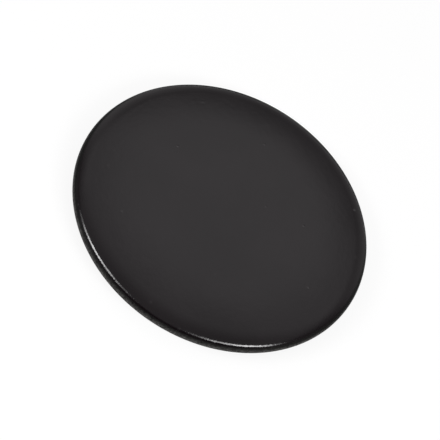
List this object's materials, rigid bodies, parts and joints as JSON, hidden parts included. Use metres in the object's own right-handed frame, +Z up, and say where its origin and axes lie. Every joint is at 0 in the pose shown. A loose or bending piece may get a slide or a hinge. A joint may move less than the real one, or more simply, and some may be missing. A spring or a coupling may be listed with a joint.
{
  "type": "gas burner cap",
  "caption": "Round black enamelled steel cap for a gas hob burner, with a flat top, rolled-off edge, plain rim and an open ring underneath that centres it on the burner.",
  "frame": {"origin": "on the cap's axis, in the plane of the ring's foot, on which the cap stands on a flat surface", "axes": "+Z up along the cap's axis, out of its top; X and Y are any two directions across it, because the cap is round"},
  "size_m": [0.1, 0.1, 0.0092],
  "materials": {
    "enamel": "satin black vitreous enamel with a fine orange peel"
  },
  "bodies": {
    "root": {"burner_cap": "enamel"}
  },
  "joints": []
}
